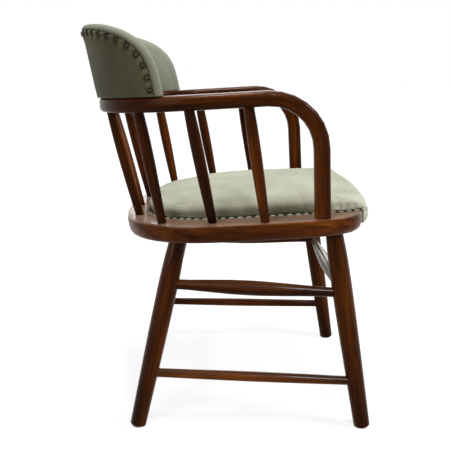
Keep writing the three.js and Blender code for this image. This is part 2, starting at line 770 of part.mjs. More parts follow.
function makeCrestScrews() {
  const outward = (crestBoardInside + crestBoardOutside) / 2;
  return crestScrewPlaces.map((along, i) => {
    const head = bowUnderside + crestScrewSink;
    const start = leaning(along, outward, head);
    const tip = leaning(along, outward, head + crestScrewLength);
    const profile = [new THREE.Vector2(0, 0), new THREE.Vector2(crestScrewHeadRadius, 0),
      new THREE.Vector2(crestScrewHeadRadius, crestScrewHeadHeight * crestScrewRimShare),
      new THREE.Vector2(crestScrewRadius, crestScrewHeadHeight),
      new THREE.Vector2(crestScrewRadius, crestScrewLength - crestScrewHeadRadius),
      new THREE.Vector2(0, crestScrewLength)];
    const geometry = new THREE.LatheGeometry(profile, turnedSides);
    const screw = piece(`crest_screw_${i + 1}`, geometry, screwBrass, raked);
    layAlong(screw, start, tip);
    const inward = new THREE.Vector3().subVectors(tip, start).normalize();
    const below = start.clone().addScaledVector(inward, -crestScrewSink);
    const neck = start.clone().lerp(tip, crestScrewHeadHeight / crestScrewLength);
    return {
      shank: bore(tip, start, crestScrewRadius, raked),
      head: bore(neck, below, crestScrewHeadRadius, raked),
    };
  });
}

// Legs and stretchers

function onUnderside(place, side) {
  return raked.localToWorld(new THREE.Vector3(place.side * side, place.back, -seatThickness));
}

function legAxis(top, foot, side) {
  const upper = onUnderside(top, side);
  const lower = new THREE.Vector3(foot.side * side, foot.back, 0);
  const rise = new THREE.Vector3().subVectors(upper, lower).normalize();
  return {
    lower,
    upper,
    sole: lower.clone().addScaledVector(rise, -cutOverrun / rise.z),
    end: upper.clone().addScaledVector(rise, legSocketDepth),
    at: (height) => lower.clone().addScaledVector(rise, height / rise.z),
  };
}

const legSwellShares = [
  [0, 0], [0.11, 0.19], [0.22, 0.37], [0.33, 0.56], [0.45, 0.76], [0.6, 0.93], [0.74, 1], [0.84, 0.88], [0.92, 0.55],
  [0.97, 0.2], [1, 0],
];
const legRadii = { start: legFootRadius, belly: legBellyRadius, end: legTopRadius };

function legLip(axis) {
  const direction = new THREE.Vector3().subVectors(axis.end, axis.sole);
  return lip(legTopRadius, direction, SEAT_NORMAL.clone().transformDirection(raked.matrixWorld));
}

function legStations(axis) {
  const tenons = { start: legFootBevel + cutOverrun, end: legSocketDepth + legLip(axis) };
  return swelling(legSwellShares, legRadii, tenons, axis.sole.distanceTo(axis.end));
}

function makeLeg(name, axis, bores) {
  const leg = piece(name, turned(legStations(axis), legSides, true), wood, standing);
  layAlong(leg, axis.sole, axis.end);
  const side = legBellyRadius * 2 + cutOverrun * 2;
  const floor = new THREE.BoxGeometry(side, side, side).translate(axis.lower.x, axis.lower.y, -side / 2);
  carve(leg, [floor, ...bores]);
}

function legRadiusAt(axis, height) {
  const place = axis.sole.distanceTo(axis.at(height));
  const stations = legStations(axis);
  const upper = stations.findIndex((station) => station.y >= place);
  const share = (place - stations[upper - 1].y) / (stations[upper].y - stations[upper - 1].y);
  return mix(stations[upper - 1].x, stations[upper].x, share);
}

// A stretcher between two legs at given heights, its ends let into them, and the bores that take it.
function makeStretcher(name, start, end, shares, radii) {
  const startAxis = start.axis.at(start.height);
  const endAxis = end.axis.at(end.height);
  const direction = new THREE.Vector3().subVectors(endAxis, startAxis).normalize();
  const startMouth = startAxis.addScaledVector(direction, legRadiusAt(start.axis, start.height));
  const endMouth = endAxis.addScaledVector(direction, -legRadiusAt(end.axis, end.height));
  const from = startMouth.clone().addScaledVector(direction, -stretcherTenonDepth);
  const to = endMouth.clone().addScaledVector(direction, stretcherTenonDepth);
  const tenons = { start: stretcherTenonDepth, end: stretcherTenonDepth };
  const stations = swelling(shares, radii, tenons, from.distanceTo(to));
  layAlong(piece(name, turned(stations, turnedSides), wood, standing), from, to);
  start.bores.push(bore(from, startMouth, radii.start, standing));
  end.bores.push(bore(to, endMouth, radii.end, standing));
}

const lowSwellShares = [
  [0, 0], [0.08, 0.1], [0.2, 0.45], [0.34, 0.8], [0.5, 1], [0.66, 0.8], [0.8, 0.45], [0.92, 0.1], [1, 0],
];
const highSwellShares = [
  [0, 0], [0.07, 0.06], [0.2, 0.36], [0.33, 0.7], [0.46, 0.96], [0.54, 1], [0.66, 0.9], [0.8, 0.5],
  [0.93, 0.1], [1, 0],
];
const crossSwellShares = [
  [0, 0], [0.06, 0.05], [0.17, 0.33], [0.3, 0.68], [0.4, 0.9], [0.5, 1], [0.6, 0.9], [0.7, 0.68],
  [0.83, 0.33], [0.94, 0.05], [1, 0],
];

function makeUnderframe() {
  const ends = {};
  for (const [name, side] of [['left', 1], ['right', -1]]) {
    ends[`front_${name}`] = { axis: legAxis(frontLegTop, frontLegFoot, side), bores: [] };
    ends[`rear_${name}`] = { axis: legAxis(rearLegTop, rearLegFoot, side), bores: [] };
  }
  const end = (leg, height) => ({ ...ends[leg], height });
  const radii = (start, belly, finish) => ({ start, belly, end: finish });
  const low = radii(lowStretcherEndRadius, lowStretcherMiddleRadius, lowStretcherEndRadius);
  const high = radii(highStretcherFrontRadius, highStretcherBellyRadius, highStretcherRearRadius);
  const cross = radii(crossStretcherEndRadius, crossStretcherBellyRadius, crossStretcherEndRadius);
  for (const name of ['left', 'right']) {
    makeStretcher(`side_stretcher_lower_${name}`, end(`front_${name}`, lowStretcherFrontHeight),
      end(`rear_${name}`, lowStretcherRearHeight), lowSwellShares, low);
    makeStretcher(`side_stretcher_upper_${name}`, end(`front_${name}`, highStretcherFrontHeight),
      end(`rear_${name}`, highStretcherRearHeight), highSwellShares, high);
  }
  const frontHeight = highStretcherFrontHeight - crossStretcherFrontDrop;
  const rearHeight = highStretcherRearHeight - crossStretcherRearDrop;
  makeStretcher('front_stretcher', end('front_left', frontHeight), end('front_right', frontHeight),
    crossSwellShares, cross);
  makeStretcher('rear_stretcher', end('rear_left', rearHeight), end('rear_right', rearHeight),
    crossSwellShares, cross);
  const sockets = [];
  for (const [name, { axis, bores }] of Object.entries(ends)) {
    makeLeg(`leg_${name}`, axis, bores);
    sockets.push(bore(axis.end, axis.upper, legTopRadius, standing, legLip(axis)));
  }
  return sockets;
}

// The posts lean a little, so that their tenons' level ends need a deeper socket.
function makePostSockets() {
  return [1, -1].map((side) => {
    const [end, mouth] = bowPostRings(side).slice(0, 2).map((ring) => {
      return ring.reduce((sum, point) => sum.add(point), new THREE.Vector3()).divideScalar(ring.length);
    });
    end.z -= (postTenonRadius * (bowHalfWidth - postHalfWidth)) / bowUnderside;
    return bore(end, mouth, postTenonRadius, raked);
  });
}

const legSockets = makeUnderframe();
const spindleSockets = makeSpindles();
const screwHoles = makeCrestScrews();
makeSeatFrame([...legSockets, ...makePostSockets(), ...spindleSockets.map(({ inSeat }) => inSeat)]);
makeWebbing();
makeHessian();
makeSeatPad();
makeArmBow([
  ...spindleSockets.map(({ inBow }) => inBow),
  ...screwHoles.flatMap(({ shank, head }) => [shank, head]),
]);
makeCrestBoard(screwHoles.map(({ shank }) => shank));
makeCrestPanel();
makeCrestPad();

const extent = new THREE.Box3().setFromObject(standing, true);
standing.position.y = -(extent.min.y + extent.max.y) / 2;

export default chair;
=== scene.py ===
import math

import bmesh
import bpy
import numpy as np
from mathutils import Matrix, Vector, kdtree, noise


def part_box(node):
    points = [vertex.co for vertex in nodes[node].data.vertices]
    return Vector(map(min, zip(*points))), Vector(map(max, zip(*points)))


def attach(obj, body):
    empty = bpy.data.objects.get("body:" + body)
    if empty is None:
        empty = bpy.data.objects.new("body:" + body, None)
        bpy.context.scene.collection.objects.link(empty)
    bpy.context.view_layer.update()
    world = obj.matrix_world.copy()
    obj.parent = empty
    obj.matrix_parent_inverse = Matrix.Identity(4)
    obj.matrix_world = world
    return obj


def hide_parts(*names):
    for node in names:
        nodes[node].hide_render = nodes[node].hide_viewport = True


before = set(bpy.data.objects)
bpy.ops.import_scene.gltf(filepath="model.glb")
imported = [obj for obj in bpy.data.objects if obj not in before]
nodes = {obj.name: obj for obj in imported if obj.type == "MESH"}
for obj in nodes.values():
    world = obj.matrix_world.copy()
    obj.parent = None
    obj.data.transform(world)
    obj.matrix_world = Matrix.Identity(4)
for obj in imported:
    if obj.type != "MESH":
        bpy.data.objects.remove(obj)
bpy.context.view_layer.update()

# The raked seat's frame, which the upholstery and the bow follow, from the CAD source's values, in mm.
SEAT_HEIGHT = 441.8
RAKE = math.radians(3.06)
SHIFT = -26.368
FIT_GAP = 0.3

PAD = {"half": 194.0, "rear": 223.0, "front": 242.0, "rear_exp": 3.0, "front_exp": 12.0}
PAD_FRONT_BOW = 10.0
PAD_MIDDLE = -20.0
PAD_CROWN = 45.0
PAD_REAR_FALL = 13.0
PAD_FRONT_FALL = 4.0
PAD_CORNER_FALL = 8.0
PAD_FRONT_FULLNESS = 5.0
PAD_SHOULDER = 17.0
PAD_WRAP_HALF = 172.0
PAD_WRAP_DROP = 35.0
REBATE_FACE = -245.3

BOW_HALF, BOW_BACK, BOW_SPRING, BOW_EXP, BEND_START = 241.0, 234.5, 30.0, 2.4, 63.0
BOW_UNDERSIDE, ARM_THICKNESS, ARM_WIDTH, BEND_RADIUS = 220.2, 29.5, 44.0, 114.5
CREST_BASE = BOW_UNDERSIDE + ARM_THICKNESS + FIT_GAP
CREST_HALF, CREST_HEIGHT, CREST_EXP = 268.5, 125.6, 3.7
CREST_LEAN, CREST_FOOT = 0.134, 0.86
CREST_OUTSIDE = ARM_WIDTH / 2 + 3
CREST_BOARD_OUTSIDE = CREST_OUTSIDE - 2.6 - FIT_GAP
CREST_BOARD_INSIDE = CREST_BOARD_OUTSIDE - 14
CREST_PAD = 18.0
PANEL_MARGIN, ROLL_MARGIN = 9.0, 19.5


def seat_to_row(x, y, h):
    """A place in the raked seat's frame, in mm, as a place in the row's frame, in metres."""
    return Vector((
        x,
        y * math.cos(RAKE) + h * math.sin(RAKE) + SHIFT,
        SEAT_HEIGHT + h * math.cos(RAKE) - y * math.sin(RAKE),
    )) / 1000


def bulge(value, power):
    """A power that keeps the value's sign."""
    return math.copysign(abs(value) ** power, value)


def mix(a, b, t):
    return a + (b - a) * t


def smooth(t):
    t = min(max(t, 0.0), 1.0)
    return t * t * (3 - 2 * t)


def sampled(table, t):
    """A smooth curve through a table of (place, value), at a place."""
    i = max(j for j in range(len(table) - 1) if table[j][0] <= t or j == 0)
    before, here, there = table[max(i - 1, 0)], table[i], table[i + 1]
    after = table[min(i + 2, len(table) - 1)]
    span = there[0] - here[0]
    u = (t - here[0]) / span
    m0 = (there[1] - before[1]) / max(there[0] - before[0], 1e-9) * span
    m1 = (after[1] - here[1]) / max(after[0] - here[0], 1e-9) * span
    return ((2 * u**3 - 3 * u**2 + 1) * here[1] + (u**3 - 2 * u**2 + u) * m0
            + (3 * u**2 - 2 * u**3) * there[1] + (u**3 - u**2) * m1)


def painted_shade(obj, values):
    """Gives each point of a cover its painted shade: darker where it tucks in, lighter where it puffs up."""
    obj.data.attributes.new("painted_shade", "FLOAT", "POINT").data.foreach_set("value", values)


def made(name, points, faces, smooth_faces=True):
    """A mesh object with its faces turned outward."""
    mesh = bpy.data.meshes.new(name)
    mesh.from_pydata([tuple(p) for p in points], [], faces)
    mesh.validate()
    bm = bmesh.new()
    bm.from_mesh(mesh)
    bmesh.ops.recalc_face_normals(bm, faces=bm.faces)
    bm.to_mesh(mesh)
    bm.free()
    mesh.polygons.foreach_set("use_smooth", [smooth_faces] * len(mesh.polygons))
    obj = bpy.data.objects.new(name, mesh)
    bpy.context.scene.collection.objects.link(obj)
    return obj


def lofted(rings):
    """Points and faces of a skin over rings of points, open at both ends."""
    count = len(rings[0])
    points = [p for ring in rings for p in ring]
    faces = []
    for i in range(len(rings) - 1):
        for j in range(count):
            k = (j + 1) % count
            faces.append((i * count + j, i * count + k, (i + 1) * count + k, (i + 1) * count + j))
    return points, faces


def capped(rings):
    """Points and faces of a closed bar over rings of points, with a face on each end."""
    points, faces = lofted(rings)
    count = len(rings[0])
    last = len(points) - count
    return points, faces + [tuple(range(count)), tuple(last + j for j in reversed(range(count)))]


# Materials

class Shader:
    """Builds a node material, with names for the nodes that this scene uses most."""

    def __init__(self, name):
        self.material = bpy.data.materials.new(name)
        self.material.use_nodes = True
        self.tree = self.material.node_tree
        self.bsdf = self.tree.nodes["Principled BSDF"]

    def node(self, kind, **values):
        made_node = self.tree.nodes.new(kind)
        for key, value in values.items():
            if hasattr(made_node, key):
                setattr(made_node, key, value)
            else:
                made_node.inputs[key.replace("_", " ")].default_value = value
        return made_node

    def link(self, source, target):
        self.tree.links.new(source, target)

    def surface(self, **values):
        """Sets sockets of the main shader, or links them, each named with _ for a space."""
        for key, value in values.items():
            socket = self.bsdf.inputs[key.replace("_", " ")]
            if isinstance(value, bpy.types.NodeSocket):
                self.link(value, socket)
            else:
                socket.default_value = value

    def math(self, operation, *values):
        node = self.node("ShaderNodeMath", operation=operation)
        for value, socket in zip(values, node.inputs):
            self.link(value, socket)
        return node.outputs[0]

    def height(self, vector):
        """The z of a vector."""
        apart = self.node("ShaderNodeSeparateXYZ")
        self.link(vector, apart.inputs["Vector"])
        return apart.outputs["Z"]

    def place(self, rotation=(0, 0, 0), scale=(1, 1, 1), location=(0, 0, 0), source=None):
        mapping = self.node("ShaderNodeMapping", Rotation=rotation, Scale=scale, Location=location)
        if source is None:
            source = self.node("ShaderNodeTexCoord").outputs["Object"]
        self.link(source, mapping.inputs["Vector"])
        return mapping.outputs["Vector"]

    def noise(self, vector, scale, detail=3.0, roughness=0.5, distortion=0.0):
        texture = self.node(
            "ShaderNodeTexNoise", Scale=scale, Detail=detail, Roughness=roughness, Distortion=distortion)
        self.link(vector, texture.inputs["Vector"])
        return texture.outputs["Fac"]

    def ramp(self, value, stops):
        ramp = self.node("ShaderNodeValToRGB")
        while len(ramp.color_ramp.elements) < len(stops):
            ramp.color_ramp.elements.new(0.5)
        for element, (place, colour) in zip(ramp.color_ramp.elements, stops):
            element.position = place
            element.color = (*colour, 1)
        self.link(value, ramp.inputs["Fac"])
        return ramp.outputs["Color"]

    def range(self, value, low, high, to_low, to_high):
        node = self.node("ShaderNodeMapRange")
        for key, number in zip(("From Min", "From Max", "To Min", "To Max"), (low, high, to_low, to_high)):
            node.inputs[key].default_value = number
        self.link(value, node.inputs["Value"])
        return node.outputs["Result"]

    def blend(self, kind, share, first, second):
        node = self.node("ShaderNodeMix", data_type="RGBA", blend_type=kind)
        sockets = {s.identifier: s for s in node.inputs}
        for key, value in (("Factor_Float", share), ("A_Color", first), ("B_Color", second)):
            socket = sockets[key]
            if isinstance(value, (int, float)):
                socket.default_value = value
            elif isinstance(value, tuple):
                socket.default_value = (*value, 1)
            else:
                self.link(value, socket)
        return next(s for s in node.outputs if s.identifier == "Result_Color")

    def bump(self, height, strength, distance, normal=None):
        node = self.node("ShaderNodeBump", Strength=strength, Distance=distance)
        self.link(height, node.inputs["Height"])
        if normal is not None:
            self.link(normal, node.inputs["Normal"])
        return node.outputs["Normal"]


WOOD_STOPS = [
    (0.28, (0.017, 0.0036, 0.0006)), (0.44, (0.052, 0.0120, 0.0014)),
    (0.58, (0.106, 0.0275, 0.0030)), (0.74, (0.185, 0.0560, 0.0060)),
]
# The pale colour of the painted sheen on faces that look up.
PAINTED_SHEEN_COLOUR = (0.4, 0.24, 0.14)
THIN_VARNISH = 0.08


def wood(name, axis=None, attribute=None, length=0.4, middle=None, seed=0.0, tone=1.0, gloss=0.9, haze_and_painted_sheen=0.0):
    """Stained and varnished wood. Its grain runs along an axis, or along z of an attribute of places. The
    varnish is as thick as gloss says on the faces that look up, and thin elsewhere, where hands and feet wear
    it. A painted sheen makes the faces that look up paler, as the last argument says, which also gives a real
    sheen and a rougher coat. Along an axis, the colour is darker towards the ends."""
    s = Shader(name)
    if attribute:
        source = s.node("ShaderNodeAttribute", attribute_name=attribute).outputs["Vector"]
        base = s.place(location=(seed, seed * 0.7, 0), source=source)
    else:
        turn = Vector(axis).normalized().rotation_difference(Vector((0, 0, 1)))
        centred = s.place(location=tuple(-Vector(middle)))
        base = s.place(rotation=tuple(turn.to_euler()), source=centred)
        base = s.place(location=(seed, seed * 0.7, 0), source=base)
    along = s.place(scale=(1, 1, 0.055), source=base)
    figure = s.noise(along, 34, 4, 0.55, 0.35)
    streaks = s.noise(along, 150, 3, 0.6)
    pores = s.noise(s.place(scale=(1, 1, 0.02), source=base), 900, 2, 0.6)
    clouds = s.noise(s.place(scale=(1, 1, 0.4), source=base), 7, 2)
    colour = s.ramp(figure, [(at, tuple(part * tone for part in stain)) for at, stain in WOOD_STOPS])
    fine = s.ramp(streaks, [(0.34, (0.4, 0.36, 0.33)), (0.6, (1.22, 1.2, 1.15))])
    colour = s.blend("MULTIPLY", 0.75, colour, fine)
    dark = s.ramp(pores, [(0.34, (0.42, 0.36, 0.34)), (0.46, (1, 1, 1))])
    colour = s.blend("MULTIPLY", 0.55, colour, dark)
    patches = s.ramp(clouds, [(0.3, (0.6, 0.56, 0.56)), (0.7, (1.25, 1.2, 1.15))])
    colour = s.blend("MULTIPLY", 0.8, colour, patches)
    if not attribute:
        from_middle = s.math("ABSOLUTE", s.height(base))
        ends = s.range(from_middle, length * 0.18, length * 0.5, 1.12, 0.58)
        grey = s.node("ShaderNodeCombineXYZ")
        for key in ("X", "Y", "Z"):
            s.link(ends, grey.inputs[key])
        colour = s.blend("MULTIPLY", 1.0, colour, grey.outputs["Vector"])
    up = s.height(s.node("ShaderNodeNewGeometry").outputs["Normal"])
    # Painted sheen: faces that look up are mixed towards a pale colour, as the last argument says.
    if haze_and_painted_sheen:
        colour = s.blend("MIX", s.range(up, 0.6, 0.95, 0.0, 0.2 * haze_and_painted_sheen), colour, PAINTED_SHEEN_COLOUR)
    s.surface(
        Base_Color=colour,
        Roughness=s.range(streaks, 0.3, 0.7, 0.24, 0.36),
        Normal=s.bump(pores, 0.12, 0.0002),
        Specular_IOR_Level=0.045,
        Specular_Tint=(1.0, 0.55, 0.3, 1),
        Coat_Weight=s.range(up, 0.12, 0.6, THIN_VARNISH, gloss),
        Coat_Roughness=0.11 + 0.07 * haze_and_painted_sheen,
        Coat_IOR=1.32,
        Sheen_Weight=haze_and_painted_sheen,
        Sheen_Roughness=0.28,
        Sheen_Tint=(1.0, 0.78, 0.62, 1),
    )
    return s.material


# The range of a cover's painted shade attribute: a painted highlight where it puffs up, and a painted shadow
# where it is drawn in behind a nail.
PAINTED_LIGHTEST, PAINTED_DARKEST = -1, 1.35


def velvet(name, light, dark, seed=0.0):
    """Cotton velvet: a short pile that lies one way in soft patches, over a fine weave. A painted shade
    attribute makes it darker where the cover is drawn in, a painted shadow, and lighter where it puffs up, a
    painted highlight."""
    s = Shader(name)
    base = s.place(location=(seed, seed, seed))
    broad = s.noise(base, 9, 2, 0.5, 0.3)
    patch = s.noise(base, 42, 3, 0.6, 0.2)
    pile = s.noise(base, 1400, 2, 0.7)
    threads = s.noise(s.place(scale=(1, 1, 0.12), source=base), 620, 2, 0.6)
    lie = s.math("ADD", s.range(broad, 0.36, 0.64, -0.1, 0.75), s.range(patch, 0.3, 0.7, 0.0, 0.4))
    colour = s.blend("MIX", lie, light, dark)
    tufts = s.ramp(pile, [(0.25, (0.8, 0.8, 0.79)), (0.7, (1.1, 1.1, 1.1))])
    colour = s.blend("MULTIPLY", 0.55, colour, tufts)
    lines = s.ramp(threads, [(0.3, (0.88, 0.88, 0.87)), (0.65, (1.05, 1.05, 1.05))])
    colour = s.blend("MULTIPLY", 0.6, colour, lines)
    painted_depth = s.node("ShaderNodeAttribute", attribute_name="painted_shade").outputs["Fac"]
    # The stops stand for a painted shade of -1, 0, 1 and 1.35, from painted highlight to painted shadow.
    shade = s.ramp(s.range(painted_depth, PAINTED_LIGHTEST, PAINTED_DARKEST, 0, 1), [
        (0.0, (2.0, 2.0, 2.05)), (0.4255, (1, 1, 1)), (0.851, (0.48, 0.46, 0.42)), (1.0, (0.3, 0.29, 0.26))])
    s.surface(
        Base_Color=s.blend("MULTIPLY", 1.0, colour, shade),
        Normal=s.bump(patch, 0.2, 0.0015, s.bump(pile, 0.35, 0.0005)),
        Roughness=0.92,
        Specular_IOR_Level=0.15,
        Sheen_Weight=0.35,
        Sheen_Roughness=0.45,
        Sheen_Tint=(0.9, 0.93, 0.8, 1),
    )
    return s.material


def jute(name, scale, seed=0.0):
    """Coarse jute: weft and warp threads with slubs."""
    s = Shader(name)
    base = s.place(location=(seed, seed, 0))
    threads = []
    for way in ("X", "Y"):
        wave = s.node(
            "ShaderNodeTexWave", wave_type="BANDS", bands_direction=way, Scale=scale, Distortion=1.2, Detail=2)
        s.link(base, wave.inputs["Vector"])
        threads.append(wave.outputs["Color"])
    cross = s.blend("MULTIPLY", 1.0, *threads)
    slubs = s.noise(base, 70, 4, 0.6)
    colour = s.ramp(slubs, [(0.3, (0.2, 0.13, 0.06)), (0.7, (0.46, 0.34, 0.18))])
    shade = s.blend("MIX", 0.5, (1.0, 1.0, 1.0), cross)
    s.surface(
        Base_Color=s.blend("MULTIPLY", 1.0, colour, shade),
        Normal=s.bump(cross, 0.5, 0.0006),
        Roughness=0.95,
    )
    return s.material


def plain_wood(name):
    """Sawn wood that the upholstery hides."""
    s = Shader(name)
    along = s.place(scale=(0.06, 1, 1))
    grain = s.noise(along, 90, 4, 0.6)
    s.surface(
        Base_Color=s.ramp(grain, [(0.3, (0.26, 0.16, 0.08)), (0.7, (0.46, 0.32, 0.17))]),
        Normal=s.bump(grain, 0.3, 0.0003),
        Roughness=0.8,
    )
    return s.material


def brass(name, light, dark):
    """Antique brass with patches of tarnish."""
    s = Shader(name)
    base = s.place()
    tarnish = s.noise(base, 260, 3, 0.6)
    s.surface(
        Base_Color=s.ramp(tarnish, [(0.36, dark), (0.66, light)]),
        Roughness=s.range(tarnish, 0.3, 0.7, 0.26, 0.12),
        Normal=s.bump(s.noise(base, 700, 2), 0.15, 0.0002),
        Metallic=1.0,
        Specular_Tint=(0.4, 0.34, 0.25, 1),
    )
    return s.material


# Camera, solved from the photograph: its turns in radians, its place in metres, its focal length in pixels

CAMERA_TURNS = -0.0043, 0.2377, -0.0022
CAMERA_PLACE = -1.4144, 0.0346 + SHIFT / 1000, 0.7238
FOCAL_PIXELS, PICTURE_PIXELS, SENSOR_WIDTH = 623.3, 450, 36

scene = bpy.context.scene
camera = bpy.data.objects.new("camera", bpy.data.cameras.new("camera"))
scene.collection.objects.link(camera)
scene.camera = camera
yaw, pitch, roll = CAMERA_TURNS
forward = Vector((math.cos(yaw) * math.cos(pitch), math.sin(yaw) * math.cos(pitch), -math.sin(pitch)))
level = Vector((math.sin(yaw), -math.cos(yaw), 0))
upright = level.cross(forward)
right = level * math.cos(roll) + upright * math.sin(roll)
up = upright * math.cos(roll) - level * math.sin(roll)
camera.matrix_world = Matrix((
    *zip(right, up, -forward, CAMERA_PLACE),
    (0, 0, 0, 1),
))
camera.data.sensor_width = SENSOR_WIDTH
camera.data.lens = FOCAL_PIXELS / PICTURE_PIXELS * SENSOR_WIDTH
camera.data.clip_start = 0.05


# Wood: the CAD pieces, welded for smooth shading

SHARP_ANGLE = math.radians(38)
WELD_DISTANCE = 2e-5


def welded(obj):
    """Smooths a CAD piece's shading across its facets, with its sharp edges kept."""
    group = bpy.data.node_groups.get("weld_and_smooth")
    if group is None:
        group = bpy.data.node_groups.new("weld_and_smooth", "GeometryNodeTree")
        group.interface.new_socket("Geometry", in_out="INPUT", socket_type="NodeSocketGeometry")
        group.interface.new_socket("Geometry", in_out="OUTPUT", socket_type="NodeSocketGeometry")
        start = group.nodes.new("NodeGroupInput")
        end = group.nodes.new("NodeGroupOutput")
        merge = group.nodes.new("GeometryNodeMergeByDistance")
        merge.inputs["Distance"].default_value = WELD_DISTANCE
        faces = group.nodes.new("GeometryNodeSetShadeSmooth")
        faces.domain = "FACE"
        edges = group.nodes.new("GeometryNodeSetShadeSmooth")
        edges.domain = "EDGE"
        edges.inputs["Shade Smooth"].default_value = False
        bend = group.nodes.new("GeometryNodeInputMeshEdgeAngle")
        sharp = group.nodes.new("FunctionNodeCompare")
        sharp.data_type = "FLOAT"
        sharp.operation = "GREATER_THAN"
        sharp.inputs["B"].default_value = SHARP_ANGLE
        group.links.new(start.outputs[0], merge.inputs["Geometry"])
        group.links.new(merge.outputs["Geometry"], faces.inputs["Geometry"])
        group.links.new(faces.outputs["Geometry"], edges.inputs["Geometry"])
        group.links.new(bend.outputs["Unsigned Angle"], sharp.inputs["A"])
        group.links.new(sharp.outputs["Result"], edges.inputs["Selection"])
        group.links.new(edges.outputs["Geometry"], end.inputs[0])
    attributes = obj.data.attributes
    if "custom_normal" in attributes:
        attributes.remove(attributes["custom_normal"])
    modifier = obj.modifiers.new("weld_and_smooth", "NODES")
    modifier.node_group = group
    # Flat faces keep their own direction, and only the narrow faces of an arris turn between them.
    weighted = obj.modifiers.new("flat_faces_first", "WEIGHTED_NORMAL")
    weighted.keep_sharp = True


def paint(obj, material):
    obj.data.materials.clear()
    obj.data.materials.append(material)


def main_axis(obj):
    """The direction, length and middle of a long piece, from its points' spread."""
    points = np.array([v.co for v in obj.data.vertices])
    middle = (points.min(0) + points.max(0)) / 2
    spread = points - points.mean(0)
    direction = np.linalg.svd(spread, full_matrices=False)[2][0]
    reach = spread @ direction
    return Vector(direction), float(reach.max() - reach.min()), Vector(middle)


TURNED = ("spindle_", "leg_", "side_stretcher_", "front_stretcher", "rear_stretcher")
# How pale each kind of turned piece is, and how much painted sheen pales its tops. Each piece also wanders a
# little.
KINDS = (("stretcher", 1.22, 0.5), ("leg_rear", 1.06, 0.0), ("", 0.89, 0.0))

for i, name in enumerate(sorted(n for n in nodes if n.startswith(TURNED))):
    direction, length, middle = main_axis(nodes[name])
    _, tone, haze_and_painted_sheen = next(kind for kind in KINDS if kind[0] in name)
    tone += 0.07 * math.sin(i * 2.4)
    paint(nodes[name], wood(f"wood_{name}", direction, None, length, middle, 0.37 * i, tone, 0.9, haze_and_painted_sheen))
    welded(nodes[name])


# The plan of the bow, by distance from the middle of its back

BACK_POINTS, STRAIGHT_POINTS = 3000, 400


def bow_table():
    angles = np.linspace(math.pi / 2, 0, BACK_POINTS)
    x = BOW_HALF * np.cos(angles) ** (2 / BOW_EXP)
    y = BOW_SPRING + BOW_BACK * np.sin(angles) ** (2 / BOW_EXP)
    x[0], y[-1] = 0.0, BOW_SPRING
    straight = np.linspace(BOW_SPRING, -BEND_START, STRAIGHT_POINTS)[1:]
    x = np.append(x, np.full(len(straight), BOW_HALF))
    y = np.append(y, straight)
    steps = np.hypot(np.diff(x), np.diff(y))
    return np.concatenate([[0.0], np.cumsum(steps)]), x, y


BOW_RUN, BOW_X, BOW_Y = bow_table()


def on_plan(run):
    return np.array([np.interp(run, BOW_RUN, BOW_X), np.interp(run, BOW_RUN, BOW_Y)])


def on_bow(along, outward, height):
    """A seat place from the distance along the bow, the distance out from its middle line, and a height."""
    side = -1.0 if along < 0 else 1.0
    run = min(abs(along), BOW_RUN[-1] - 1)
    step = 0.5
    tangent = np.array([1.0, 0.0])
    if run >= step:
        tangent = on_plan(run + step) - on_plan(run - step)
        tangent /= np.hypot(*tangent)
    x, y = on_plan(run)
    return side * (x - tangent[1] * outward), y + tangent[0] * outward, height


def bow_places(obj):
    """Gives each point of the bow its distance along the bend, so that the grain follows the wood."""
    cos, sin = math.cos(RAKE), math.sin(RAKE)
    values = np.zeros((len(obj.data.vertices), 3))
    plan = np.stack([BOW_X, BOW_Y], axis=1)
    ahead = np.gradient(plan, axis=0)
    ahead /= np.linalg.norm(ahead, axis=1, keepdims=True)
    for i, vertex in enumerate(obj.data.vertices):
        x, y, z = vertex.co * 1000
        y, z = y - SHIFT, z - SEAT_HEIGHT
        seat_y, seat_h = y * cos - z * sin, y * sin + z * cos
        if seat_y < -BEND_START:
            centre_h = BOW_UNDERSIDE + ARM_THICKNESS - BEND_RADIUS
            rise, out = seat_h - centre_h, -BEND_START - seat_y
            turn = math.atan2(out, max(rise, 0.0)) if rise > 0 else math.pi / 2
            run = BOW_RUN[-1] + turn * (BEND_RADIUS - ARM_THICKNESS / 2) + max(-rise, 0.0)
            across, over = abs(x), math.hypot(out, max(rise, 0.0))
        else:
            near = int(((plan - (abs(x), seat_y)) ** 2).sum(1).argmin())
            run, over = BOW_RUN[near], seat_h - BOW_UNDERSIDE + BEND_RADIUS - ARM_THICKNESS
            apart = (abs(x) - plan[near][0], seat_y - plan[near][1])
            across = BOW_HALF + apart[1] * ahead[near][0] - apart[0] * ahead[near][1]
        values[i] = (across / 1000, over / 1000, math.copysign(run, x) / 1000)
    layer = obj.data.attributes.new("grain", "FLOAT_VECTOR", "POINT")
    layer.data.foreach_set("vector", values.ravel())


bow_places(nodes["arm_bow"])
paint(nodes["arm_bow"], wood("wood_arm_bow", attribute="grain", seed=0.3, tone=0.95, gloss=0.3))
welded(nodes["arm_bow"])

seat_wood = wood(
    "wood_seat_frame", (0, 1, 0), length=1.6, middle=(0.02, 0, 0.43), seed=5.4, tone=1.07, gloss=1.0, haze_and_painted_sheen=1.0)
paint(nodes["seat_frame"], seat_wood)
welded(nodes["seat_frame"])

paint(nodes["crest_board"], plain_wood("wood_crest_board"))
welded(nodes["crest_board"])
screw_brass = brass("brass_screws", (0.2, 0.14, 0.065), (0.06, 0.042, 0.02))
for i in range(1, 5):
    paint(nodes[f"crest_screw_{i}"], screw_brass)
    welded(nodes[f"crest_screw_{i}"])

seat_velvet = velvet("velvet_seat", (0.444, 0.449, 0.344), (0.353, 0.358, 0.269))
